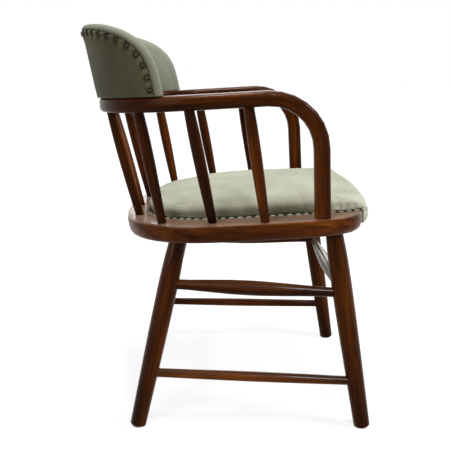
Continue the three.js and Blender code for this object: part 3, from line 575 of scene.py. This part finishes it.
# The crest's roll and outside cover are the seat's velvet painted darker for the shade they stand in; the
# outside cover is painted much darker.
crest_velvet_painted_shade = velvet("velvet_crest_painted_shade", (0.272, 0.277, 0.212), (0.22, 0.225, 0.17), seed=1.3)
outside_velvet_painted_shade = velvet("velvet_outside_painted_shade", (0.077, 0.068, 0.034), (0.041, 0.036, 0.018), seed=2.6)
nail_brass = brass("brass_nails", (0.05, 0.04, 0.027), (0.011, 0.0085, 0.006))


# Upholstery

VOXEL = 0.004
CLOTH_FRAMES = 20


def stuffed(name, points, faces, held, painted_shading, pressure, cap):
    """A closed cover, swollen over its stuffing by a cloth simulation. Each point comes with how firmly it is
    held, from 0 to 1, and with its painted shade. No point moves further than the cap, in mm."""
    blank = made("blank", points, faces)
    even = blank.modifiers.new("even", "REMESH")
    even.mode = "VOXEL"
    even.voxel_size = VOXEL
    mesh = bpy.data.meshes.new_from_object(blank.evaluated_get(bpy.context.evaluated_depsgraph_get()))
    bpy.data.objects.remove(blank)
    cover = bpy.data.objects.new(name, mesh)
    scene.collection.objects.link(cover)
    tree = kdtree.KDTree(len(points))
    for i, point in enumerate(points):
        tree.insert(point, i)
    tree.balance()
    start = np.array([v.co for v in mesh.vertices])
    nearest = [tree.find(place)[1] for place in start]
    pins = cover.vertex_groups.new(name="held")
    for i, source in enumerate(nearest):
        pins.add([i], held[source], "REPLACE")
    cloth = cover.modifiers.new("swelling", "CLOTH")
    cloth.settings.vertex_group_mass = "held"
    cloth.settings.use_pressure = True
    cloth.settings.uniform_pressure_force = pressure
    cloth.settings.effector_weights.gravity = 0
    cloth.point_cache.frame_start, cloth.point_cache.frame_end = 1, CLOTH_FRAMES
    for step in range(1, CLOTH_FRAMES + 1):
        scene.frame_set(step)
    swollen = cover.evaluated_get(bpy.context.evaluated_depsgraph_get()).data
    moves = np.array([v.co for v in swollen.vertices]) - start
    lengths = np.linalg.norm(moves, axis=1, keepdims=True)
    start = start + moves * np.minimum(1.0, cap / 1000 / np.maximum(lengths, 1e-9))
    cover.modifiers.remove(cloth)
    cover.vertex_groups.remove(pins)
    mesh.vertices.foreach_set("co", start.ravel())
    scene.frame_set(1)
    # Painted shade and light, taken from each point's nearest source point.
    painted_shade(cover, [painted_shading[i] for i in nearest])
    mesh.polygons.foreach_set("use_smooth", [True] * len(mesh.polygons))
    cover.modifiers.new("round", "SUBSURF").levels = 1
    return cover


# Seat pad

PAD_POINTS = 360
FINE_POINTS = 20001
NAIL_PITCH = 17.5
# How far past the last nail the hem still wavers.
NAIL_END = 12
# The hem runs along the outline times this share, and its nails stand this far outside that line.
HEM_SHARE, HEM_NAIL_OUT = 0.962, 2.9
# The front is turned down between its side edges, over this width of blend.
WRAP_BLEND = 6
# It is nailed along its side edges, this far down and this far out, to this face. From this place outward
# it is held to the face.
EDGE_NAILS, EDGE_OUT, EDGE_FACE, EDGE_FROM = (5.0, 15.5, 26.0), 168.5, -251.5, 161
# The top is uneven: the size and height of its swells, and their seed.
SWELLS = ((62, 1.3, 3.0), (27, 0.45, 9.0))
# Shares of the outline where the underside turns flat, turns up, and reaches the hollow over the webbing.
UNDER, TURN_UP, HOLLOW_SHARE = 0.9, 0.86, 0.85
HOLLOW_HEIGHT = 7.0


def on_outline(shape, angle):
    end = "rear" if math.sin(angle) >= 0 else "front"
    power = 2 / shape[f"{end}_exp"]
    return shape["half"] * bulge(math.cos(angle), power), shape[end] * bulge(math.sin(angle), power)


def even_outline(shape, count):
    """Points evenly spaced along the outline's arc, from the front's middle anticlockwise."""
    fine = np.linspace(-math.pi / 2, math.pi * 1.5, FINE_POINTS)
    points = np.array([on_outline(shape, a) for a in fine])
    run = np.concatenate([[0], np.cumsum(np.hypot(*np.diff(points, axis=0).T))])
    at = np.linspace(0, run[-1], count, endpoint=False)
    return np.stack([np.interp(at, run, points[:, 0]), np.interp(at, run, points[:, 1])], axis=1), at, run[-1]


CROWN = [(0.0, 1.0), (0.12, 1.0), (0.34, 0.99), (0.54, 0.945), (0.695, 0.865), (0.815, 0.745), (0.9, 0.58),
         (0.957, 0.4), (0.988, 0.21), (1.0, 0.0)]
CROWN_LINES = (0.06, 0.14, 0.22, 0.3, 0.38, 0.46, 0.54, 0.61, 0.68, 0.74, 0.8, 0.85, 0.895, 0.93, 0.955, 0.975,
               0.99, 0.998)
# Down the side, gathered towards each nail: reach, height, height in front, pull, and reach in front.
SIDE_LINES = [(1.001, 13.5, 10.0, 1.0, 1.011), (0.998, 10.0, 1.0, 1.7, 1.02), (0.99, 6.8, -9.0, 2.4, 1.022),
              (0.979, 4.2, -19.0, 2.9, 1.012), (0.968, 2.4, -27.0, 2.6, 0.996), (0.962, 1.5, -32.0, 1.6, 0.98)]
# The hem, a folded strip that lies on the wood and puffs up between the nails: out, height, scallop.
HEM = [(-4.0, 1.3, 0.0), (0.8, 1.4, 0.5), (2.4, 1.9, 0.8), (4.4, 1.9, 1.0), (5.9, 1.2, 1.0), (6.3, 0.35, 0.9),
       (-4.0, 0.35, 0.0)]
# How much painted shade each line of the pad gets, from the crown down: most where the sides tuck in.
PAD_PAINTED_SHADE = [0.0] * 13 + [0.05, 0.12, 0.22, 0.36, 0.52, 0.7, 0.85, 0.95, 1.0, 1.0, 0.9, 0.3, 0.3, 0.3]


def build_seat_pad():
    """The cover of the seat pad: a crown, sides that tuck in to a nailed hem, and a front turned down."""
    outline, run, whole = even_outline(PAD, PAD_POINTS)
    for place in outline:
        ahead = smooth(-place[1] / PAD["front"])
        place[1] -= PAD_FRONT_BOW * ahead * (1 - (place[0] / PAD["half"]) ** 2)
    # Nails run round the sides and rear, from one front corner to the other.
    front_corner = next(i for i, (x, y) in enumerate(outline) if x > PAD_WRAP_HALF)
    start, end = run[front_corner], whole - run[front_corner]
    nail_count = round((end - start) / NAIL_PITCH)
    rows = []

    def turns(at):
        """How many nails come before a place: they were set by eye, so their spacing wanders."""
        return (at - start) / (end - start) * nail_count + 0.1 * np.sin(at / 37) + 0.07 * np.sin(at / 13.1)

    def wave(at):
        """1 at a nail and 0 half-way between two, and 0 past the last."""
        if not start - NAIL_END < at < end + NAIL_END:
            return 0.0
        return 0.5 - 0.5 * math.cos(turns(at) * 2 * math.pi)

    fine = np.linspace(start, end, 8001)
    nail_runs = [float(np.interp(i + 0.5, turns(fine), fine)) for i in range(nail_count)]

    def wraps(x, y):
        """1 where the cover is turned down in front, and 0 where it ends in the hem."""
        return smooth((PAD_WRAP_HALF + WRAP_BLEND / 2 - abs(x)) / WRAP_BLEND) if y < 0 else 0.0

    def row(reach, height, wrap_height=None, pull=0.0, out=0.0, wrap_reach=1.0):
        """One line round the pad, in seat places."""
        points = []
        for (x, y), at in zip(outline, run):
            length = math.hypot(x, y)
            share = reach + (out - pull * wave(at)) / length
            h = height
            if wrap_height is not None:
                share = mix(share, wrap_reach, wraps(x, y))
                h = mix(height, wrap_height, wraps(x, y))
            pinned = smooth((abs(x) - EDGE_FROM) / 10) * smooth((1 - h) / 12) if y < 0 else 0.0
            back = y * share + PAD_MIDDLE
            points.append((x * share, mix(back, max(back, EDGE_FACE), pinned), h))
        return points

    for reach in CROWN_LINES:
        rise = sampled(CROWN, reach)
        fade = smooth((reach - 0.86) / 0.14)
        lower = row(reach, mix(PAD_SHOULDER, PAD_CROWN, rise), pull=0.5 * fade)
        fallen = []
        for x, y, h in lower:
            behind = (y - PAD_MIDDLE) / PAD["rear"]
            ahead = (PAD_MIDDLE - y) / PAD["front"]
            front_fall = PAD_FRONT_FALL + PAD_CORNER_FALL * (x / PAD["half"]) ** 2
            h -= rise * (PAD_REAR_FALL * smooth(behind) + front_fall * smooth(ahead))
            h += PAD_FRONT_FULLNESS * 4 * rise * (1 - rise) * smooth(ahead)
            soft = sum(noise.noise(Vector((x, y, seed)) / size) * lift for size, lift, seed in SWELLS)
            fallen.append((x, y, h + soft * min(1.0, rise * 1.6)))
        rows.append(fallen)
    for reach, height, wrap_height, pull, wrap_reach in SIDE_LINES:
        rows.append(row(reach, height, wrap_height, pull, pull * 0.35, wrap_reach))
    hem_rings, hem_painted_shading = [], []
    for (x, y), at in zip(outline, run):
        strip = 1 - wraps(x, y)
        if strip < 0.03:
            continue
        ring = []
        for out, height, scallop in HEM:
            share = HEM_SHARE + (out - scallop * 1.1 * wave(at)) * strip / math.hypot(x, y)
            h = mix(1.0 - PAD_WRAP_DROP, max(height * (1.2 - 0.8 * wave(at)), FIT_GAP), strip)
            ring.append(seat_to_row(x * share, y * share + PAD_MIDDLE, h))
            # Painted shadow at each nail, and a faint painted highlight where the hem puffs up between them.
            hem_painted_shading.append(1.1 * wave(at) - 0.1)
        hem_rings.append(ring)
    # Underneath: flat on the wood, back to the rebate's face in front, and hollow over the webbing.
    for share, wrap_height in ((UNDER, 0.5 - PAD_WRAP_DROP), (TURN_UP, FIT_GAP)):
        points = []
        for x, y in outline:
            w = wraps(x, y)
            flat_y = y * share + PAD_MIDDLE
            points.append((x * share, mix(flat_y, max(flat_y, REBATE_FACE), w), mix(FIT_GAP, wrap_height, w)))
        rows.append(points)
    hollow = [(x * HOLLOW_SHARE, y * HOLLOW_SHARE + PAD_MIDDLE) for x, y in outline]
    rows.append([(x, max(y, REBATE_FACE + 16), HOLLOW_HEIGHT) for x, y in hollow])
    points, faces = lofted(rows)
    count = len(outline)
    top, bottom = len(points), len(points) + 1
    points = points + [(0.0, PAD_MIDDLE, PAD_CROWN + 0.2), (0.0, PAD_MIDDLE, HOLLOW_HEIGHT)]
    faces += [(j, top, (j + 1) % count) for j in range(count)]
    last = top - count
    faces += [(last + j, last + (j + 1) % count, bottom) for j in range(count)]
    # Held at the nails and underneath, with painted shade down the sides.
    side_line = len(CROWN_LINES) + 2
    held, painted_shading = [], []
    for i, (x, y, h) in enumerate(points):
        line, at = i // count, run[i % count]
        in_front = wraps(x, y - PAD_MIDDLE)
        below = 1.0 if line >= side_line + 4 else 0.0
        pinned = smooth((line - side_line) / 3) * mix(wave(at) ** 2, 0.8, in_front)
        held.append(max(below, pinned) if i < top else 0.0)
        # The painted shade on the sides is darkest just ahead of the middle, and turns to painted light
        # towards the front and on the turned-down front.
        painted_dark_band = smooth((-y - 20) / 60)
        lit = 1.0 + 0.3 * painted_dark_band - 2.0 * smooth((-y - 120) / 80)
        painted_depth = PAD_PAINTED_SHADE[min(line, len(PAD_PAINTED_SHADE) - 1)] ** (1 - 0.4 * painted_dark_band)
        painted_shading.append(painted_depth * mix(lit, -0.7, in_front) if i < top else 0.0)
    held[bottom] = 1.0
    pad = stuffed("seat_pad_cover", [seat_to_row(*p) for p in points], faces, held, painted_shading, 4.0, 5.0)
    paint(pad, seat_velvet)
    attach(pad, "root")
    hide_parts("seat_pad")
    hem_strip = made("seat_pad_hem", *capped(hem_rings))
    painted_shade(hem_strip, hem_painted_shading)
    paint(hem_strip, seat_velvet)
    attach(hem_strip, "root")

    places = []
    for at in nail_runs:
        x = np.interp(at, run, outline[:, 0])
        y = np.interp(at, run, outline[:, 1])
        share = HEM_SHARE + HEM_NAIL_OUT / math.hypot(x, y)
        places.append([seat_to_row(x * share, y * share + PAD_MIDDLE, h) for h in (1.5, 5.0)])
    for side in (-1, 1):
        for drop in EDGE_NAILS:
            foot = seat_to_row(side * EDGE_OUT, EDGE_FACE + 0.1, -drop)
            out = seat_to_row(side * (EDGE_OUT + 1), EDGE_FACE - 4.9, -drop)
            places.append((foot, out))
    return places


NAIL_POINTS = 16


def dome_nails(name, places, radius, dome):
    """Domed nail heads, each given by its seat and a point out along its axis."""
    points, faces = [], []
    turns = [j / NAIL_POINTS * 2 * math.pi for j in range(NAIL_POINTS)]
    profile = [(radius, -0.9)] + [
        (radius * math.cos(math.radians(a)), dome * math.sin(math.radians(a))) for a in (0, 20, 42, 64, 80)]
    for seat_point, out_point in places:
        axis = (out_point - seat_point).normalized()
        side = axis.orthogonal().normalized()
        other = axis.cross(side)
        rings = []
        for reach, height in profile:
            offsets = [(side * math.cos(t) + other * math.sin(t)) * reach + axis * height for t in turns]
            rings.append([seat_point + offset / 1000 for offset in offsets])
        head_points, head_faces = capped(rings)
        faces += [tuple(len(points) + j for j in face) for face in head_faces]
        points += head_points
    nails = made(name, points, faces)
    paint(nails, nail_brass)
    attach(nails, "root")


dome_nails("seat_nails", build_seat_pad(), 3.2, 1.9)


# Crest

CREST_POINTS = 301
CREST_NAIL_PITCH = 21.5
# How far the padding swells out, by its share of the rise.
SWELL = [(0.0, 0.8), (0.25, 0.95), (0.5, 1.0), (0.75, 0.93), (1.0, 0.7)]
# The roll over the rim, as shares of its margin and of the way from the padding to the outside.
ROLL = [(0.3, 0.03), (0.6, 0.1), (0.8, 0.22), (0.93, 0.36), (1.0, 0.52), (0.985, 0.67), (0.92, 0.8),
        (0.82, 0.9), (0.7, 0.965), (0.59, 1.0), (0.52, 0.99)]
INSIDE_LINES = 15
# Painted shade on each line of the padding, from its foot to where it goes under the outside cover: darkest in
# the groove next to the outside cover.
CREST_PAINTED_SHADE = [0.0] * 17 + [0.06, 0.13, 0.21, 0.3, 0.42, 0.56, 0.74, 0.95]
# The outside cover: its lines up to the rim, and beyond it each line's margin and how far it puffs up.
COVER_LINES = list(np.linspace(0, 0.86, 14)) + [0.9, 0.93, 0.955, 0.975, 0.99, 1.0]
COVER_EDGE = [(2.4, 0.9), (4.8, 1.0), (6.8, 0.85), (8.1, 0.4), (8.7, -0.15)]
# Painted shade on each of the edge's lines, strongest at the nails.
EDGE_PAINTED_SHADE = [1.0, 1.0, 0.9, 0.8, 0.8]
# The outside cover's nails stand this far past the rim.
CREST_NAIL_MARGIN = PANEL_MARGIN - 5.6


def even_rim(count):
    """Places evenly spaced round the crest's rim, from the right end over the top to the left end."""
    fine = np.linspace(-math.pi / 2, math.pi / 2, FINE_POINTS)
    along = CREST_HALF * np.sign(np.sin(fine)) * np.abs(np.sin(fine)) ** (2 / CREST_EXP)
    height = CREST_HEIGHT * np.clip(np.cos(fine), 0, 1) ** (2 / CREST_EXP)
    run = np.concatenate([[0], np.cumsum(np.hypot(np.diff(along), np.diff(height)))])
    at = np.linspace(0, run[-1], count)
    rims = [(float(np.interp(a, run, along)), float(np.interp(a, run, height))) for a in at]
    return rims, at, float(run[-1])


def on_crest(rim, rise, margin, outward):
    """A seat place from a place on the rim, a share of the way up to it, a margin past it, and a distance
    out from the bow's middle line."""
    along = mix(rim[0] * CREST_FOOT, rim[0], rise) + margin * rim[0] / CREST_HALF
    height = rim[1] * rise + margin * rim[1] / CREST_HEIGHT
    x, y, h = on_bow(along, outward, CREST_BASE + height)
    return x, y + CREST_LEAN * height, h


def build_crest():
    """The crest's padding and its outside cover. Gives the places of the nails."""
    rims, runs, whole = even_rim(CREST_POINTS)
    inside = CREST_BOARD_INSIDE - FIT_GAP
    count = round(whole / CREST_NAIL_PITCH)
    nail_runs = [whole * (i + 0.5) / count for i in range(count)]
    pitch = whole / count

    def wave(at):
        """1 at a nail and 0 half-way between two."""
        return 0.5 + 0.5 * math.cos((at - nail_runs[0]) / pitch * 2 * math.pi)

    # The padding's section, as rise, margin and outward place: inside, over the rim, and back underneath.
    rises = np.linspace(0, 1, INSIDE_LINES)
    section = [(rise, 0.0, inside - CREST_PAD * sampled(SWELL, rise)) for rise in rises]
    roll_inside = inside - CREST_PAD * SWELL[-1][1]
    for margin, through in ROLL:
        section.append((1.0, ROLL_MARGIN * margin, mix(roll_inside, CREST_OUTSIDE, through)))
    seen = len(section)
    behind = CREST_BOARD_OUTSIDE - FIT_GAP
    section += [
        (1.0, PANEL_MARGIN + 0.4, CREST_OUTSIDE - 4.0), (1.0, PANEL_MARGIN + 0.3, behind),
        (1.0, FIT_GAP, behind), (1.0, FIT_GAP, inside), (0.5, FIT_GAP / 2, inside), (0.0, 0.0, inside)]
    rings = []
    for rim in rims:
        ring = []
        for j, (rise, margin, outward) in enumerate(section):
            if j < seen:
                place = Vector((rim[0], rise * rim[1], outward)) / 48
                outward = outward - noise.noise(place) * 0.8 * smooth(rise * 3)
                margin = margin + noise.noise(place * 2.1) * 0.35 if margin > 3 else margin
            ring.append(on_crest(rim, rise, margin, outward))
        rings.append(ring)
    points, faces = capped(rings)
    pad = made("crest_pad_cover", [seat_to_row(*p) for p in points], faces)
    # Painted shade: the groove by the outside cover and the hidden parts are darkened.
    painted_depths = CREST_PAINTED_SHADE + [1.0] * (len(section) - len(CREST_PAINTED_SHADE))
    painted_shade(pad, painted_depths * len(rims))
    paint(pad, crest_velvet_painted_shade)
    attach(pad, "root")
    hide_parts("crest_pad")

    # Outside cover: stretched over the board, folded under at its edge, and puffed between its nails.
    backing = CREST_OUTSIDE - 2.5
    rings = []
    for rim, at in zip(rims, runs):
        ring = []
        for share in COVER_LINES:
            from_edge = (1 - share) * rim[1] + 0.001
            near = smooth(1 - (from_edge - 3) / 16)
            puff = near * (1.7 * (1 - wave(at)) - 0.6)
            drift = noise.noise(Vector((rim[0], rim[1] * share, 5.0)) / 70) * 0.7
            ring.append((share, 0.0, CREST_OUTSIDE + puff + drift * smooth(share * 4) * (1 - near)))
        for margin, lift in COVER_EDGE:
            puff = lift * (3.9 * (1 - wave(at)) - 0.6)
            ring.append((1.0, margin - 1.5 * wave(at) * (margin > 5), CREST_OUTSIDE + puff))
        ring += [(1.0, 8.3, backing + 0.1), (1.0, 0.0, backing), (0.0, 0.0, backing)]
        rings.append([on_crest(rim, *entry) for entry in ring])
    points, faces = capped(rings)
    cover = made("crest_outside_cover", [seat_to_row(*p) for p in points], faces)
    # Painted shadow round each nail at the edge, and a painted highlight on the puffs between.
    edges = [smooth((share - 0.9) / 0.08) for share in COVER_LINES] + EDGE_PAINTED_SHADE + [0.0] * 3
    painted_shade(cover, [edge * (1.5 * wave(at) - 0.6) for at in runs for edge in edges])
    paint(cover, outside_velvet_painted_shade)
    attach(cover, "root")
    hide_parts("crest_panel")

    places = []
    for at in nail_runs:
        rim = [float(np.interp(at, runs, values)) for values in zip(*rims)]
        foot, out = (on_crest(rim, 1.0, CREST_NAIL_MARGIN, CREST_OUTSIDE + lift) for lift in (0.2, 5.0))
        places.append((seat_to_row(*foot), seat_to_row(*out)))
    return places


dome_nails("crest_nails", build_crest(), 5.5, 3.2)


# Webbing and hessian

# In metres: half a strap's thickness, and how much shorter and narrower it is than its solid at each edge.
STRAP_HALF_THICKNESS, STRAP_END, STRAP_SIDE = 0.00085, 0.004, 0.0005
STRAP_LINES, STRAP_POINTS = 90, 12


def strap_cover(node):
    """A woven strap in place of its plain solid: a ribbon with rounded edges over the same path."""
    points = np.array([v.co for v in nodes[node].data.vertices])
    run_axis, width_axis = (1, 0) if "lengthwise" in node else (0, 1)
    across = points[:, width_axis]
    middle = (across.min() + across.max()) / 2
    # The height of the solid's top at each of its own levels along the run.
    runs = sorted({round(float(v), 4) for v in points[:, run_axis]})
    heights = [points[np.abs(points[:, run_axis] - run) < 2e-4][:, 2].max() for run in runs]
    low, high = runs[0] + STRAP_END, runs[-1] - STRAP_END
    half = (across.max() - across.min()) / 2 - STRAP_SIDE
    rings = []
    for run in np.linspace(low, high, STRAP_LINES):
        height = float(np.interp(run, runs, heights)) - 0.001
        ring = []
        for j in range(STRAP_POINTS):
            turn = j / STRAP_POINTS * 2 * math.pi
            x = half * bulge(math.cos(turn), 0.35)
            z = STRAP_HALF_THICKNESS * bulge(math.sin(turn), 0.8)
            spot = [0, 0, 0]
            spot[run_axis], spot[width_axis], spot[2] = run, middle + x, height + z
            ring.append(spot)
        rings.append(ring)
    strap = made(f"{node}_woven", *capped(rings))
    paint(strap, strap_jute)
    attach(strap, "root")
    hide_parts(node)


strap_jute = jute("jute_webbing", 260)
for way in ("lengthwise", "crosswise"):
    for i in range(1, 5):
        strap_cover(f"webbing_{way}_{i}")


def hessian_cloth():
    """The hessian as a thin cloth, a little uneven."""
    low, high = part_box("hessian")
    half = (high.x - low.x) * 500 - 0.5
    shape = {"half": half, "rear": 153.5, "front": 181.5, "rear_exp": 3.4, "front_exp": 3.4}
    outline, _, _ = even_outline(shape, 120)
    rings = []
    for share in (0.05, 0.2, 0.4, 0.6, 0.75, 0.87, 0.95, 1.0):
        flat = [(x * share, y * share) for x, y in outline]
        rings.append([(x, y, 6.1 + 0.12 * noise.noise(Vector((x, y, 0)) / 30)) for x, y in flat])
    for share, height in ((1.0, 5.35), (0.9, 5.3), (0.05, 5.3)):
        rings.append([(x * share, y * share, height) for x, y in outline])
    points, faces = capped(rings)
    cloth = made("hessian_cloth", [seat_to_row(*p) for p in points], faces)
    paint(cloth, jute("jute_hessian", 420, 0.4))
    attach(cloth, "root")
    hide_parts("hessian")


hessian_cloth()


# Floor, world and lights

def seen_rays(shader):
    """1 for the rays that show the background: to the camera, in gloss and through glass."""
    path = shader.node("ShaderNodeLightPath")
    either = shader.math("MAXIMUM", path.outputs["Is Camera Ray"], path.outputs["Is Glossy Ray"])
    return shader.math("MAXIMUM", either, path.outputs["Is Transmission Ray"])


FLOOR_HALF, FLOOR_HEIGHT = 30, -0.0005

corners = [(x * FLOOR_HALF, y * FLOOR_HALF, FLOOR_HEIGHT) for x, y in ((-1, -1), (1, -1), (1, 1), (-1, 1))]
floor = made("floor", corners, [(0, 1, 2, 3)], False)
floor_shader = Shader("floor")
floor_shader.surface(Base_Color=(0.4, 0.4, 0.4, 1), Roughness=0.9, Specular_IOR_Level=0.0)
away = floor_shader.node("ShaderNodeVectorMath", operation="LENGTH")
floor_shader.link(floor_shader.node("ShaderNodeTexCoord").outputs["Object"], away.inputs[0])
# The floor is as white as the backdrop: what the lamps don't give it far from the chair, it gives itself.
own_white = floor_shader.range(away.outputs["Value"], 0.7, 3.0, 0.76, 1.0)
white = floor_shader.node("ShaderNodeEmission")
floor_shader.link(floor_shader.math("MULTIPLY", own_white, seen_rays(floor_shader)), white.inputs["Strength"])
both = floor_shader.node("ShaderNodeAddShader")
floor_shader.link(floor_shader.bsdf.outputs[0], both.inputs[0])
floor_shader.link(white.outputs[0], both.inputs[1])
floor_shader.link(both.outputs[0], floor_shader.tree.nodes["Material Output"].inputs["Surface"])
paint(floor, floor_shader.material)


class WorldShader(Shader):
    """The same helpers for the world's nodes."""

    def __init__(self, name):
        self.world = bpy.data.worlds.new(name)
        self.world.use_nodes = True
        self.tree = self.world.node_tree


studio = WorldShader("studio")
scene.world = studio.world
background = studio.tree.nodes["Background"]
background.inputs["Color"].default_value = (0.22, 0.225, 0.235, 1)
background.inputs["Strength"].default_value = 1.0
backdrop = studio.node("ShaderNodeBackground", Color=(1, 1, 1, 1))
either = studio.node("ShaderNodeMixShader")
studio.link(seen_rays(studio), either.inputs[0])
studio.link(background.outputs[0], either.inputs[1])
studio.link(backdrop.outputs[0], either.inputs[2])
studio.link(either.outputs[0], studio.tree.nodes["World Output"].inputs["Surface"])


def softbox(name, place, target, size, power):
    """A rectangular lamp at a place, turned to a target, with its size in metres and its power in watts."""
    data = bpy.data.lights.new(name, "AREA")
    data.shape = "RECTANGLE"
    data.size, data.size_y = size
    data.energy = power
    light = bpy.data.objects.new(name, data)
    scene.collection.objects.link(light)
    light.location = place
    light.rotation_mode = "QUATERNION"
    light.rotation_quaternion = (Vector(target) - Vector(place)).to_track_quat("-Z", "Y")
    return light


softbox("key", (-0.7, -2.1, 2.0), (0, 0, 0.45), (0.6, 0.45), 35)
softbox("top", (0.1, 0.1, 2.7), (0, 0, 0.5), (0.6, 0.6), 34)
softbox("fill", (-2.1, 1.7, 1.3), (0, 0, 0.4), (1.4, 1.4), 26)
softbox("streak", (-1.9, -0.6, 2.3), (0, 0, 0.45), (0.07, 1.0), 15)
softbox("rim", (3.0, -0.3, 1.4), (0, 0, 0.45), (2.2, 0.9), 14).visible_camera = False

scene.view_settings.view_transform = "Standard"
